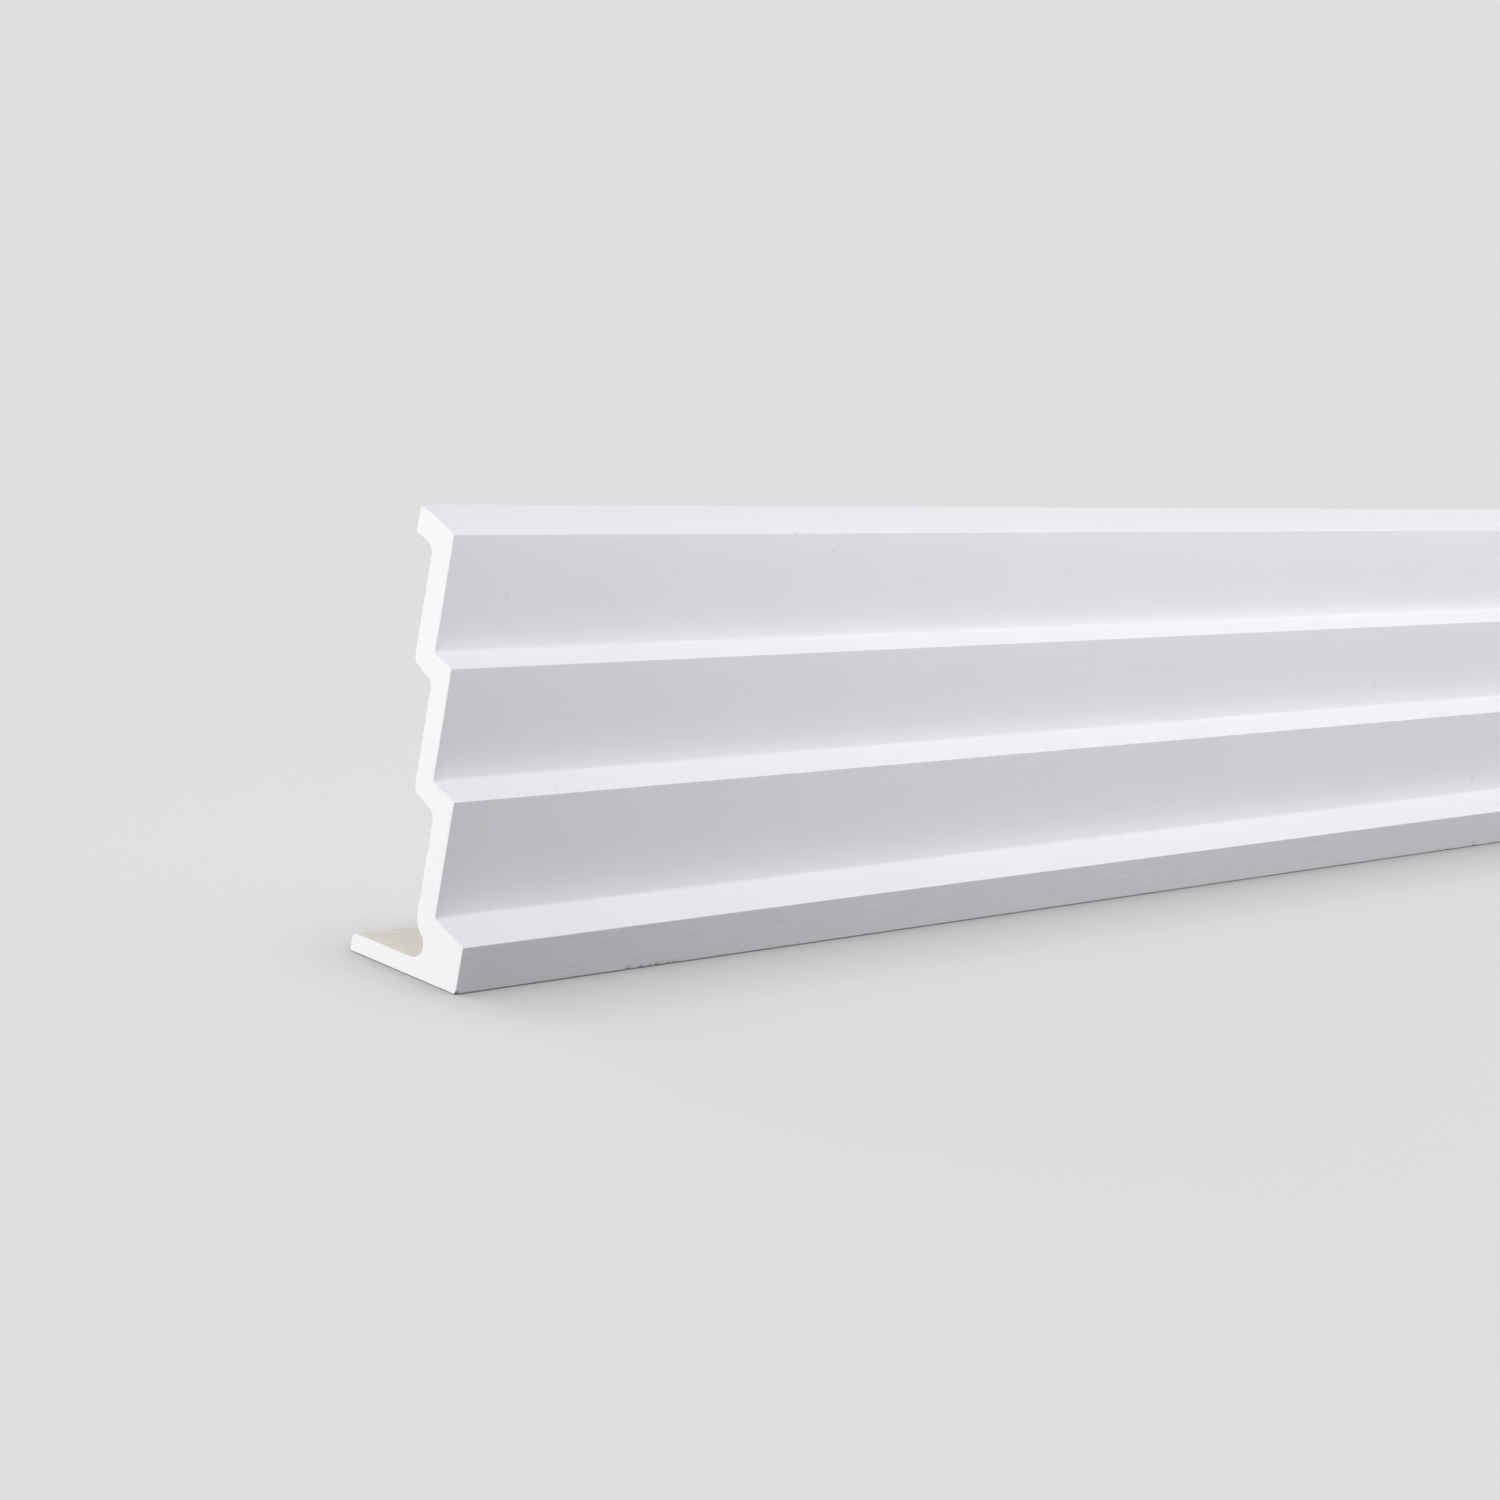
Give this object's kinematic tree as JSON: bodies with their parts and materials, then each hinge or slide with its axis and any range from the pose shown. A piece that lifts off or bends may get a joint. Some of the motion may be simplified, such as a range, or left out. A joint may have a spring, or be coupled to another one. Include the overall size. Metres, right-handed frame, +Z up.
{
  "type": "cornice moulding",
  "caption": "Stepped cornice moulding: sloping ledges and upright risers over a hollow back, with a lip for the wall and a flat flange for the ceiling. Light foam stock.",
  "frame": {"origin": "centre of the underside of the ceiling flange, halfway along the length", "axes": "+X along the length, +Y from the stepped front to the wall side, +Z up from the ceiling flange to the lip as the moulding stands on its flange"},
  "size_m": [2, 0.0684, 0.2099],
  "materials": {
    "primed_foam": "rigid polyurethane foam with a matt white primer on the front, bare skin on the back and sawn ends"
  },
  "bodies": {
    "root": {"cornice_moulding": "primed_foam"}
  },
  "joints": []
}
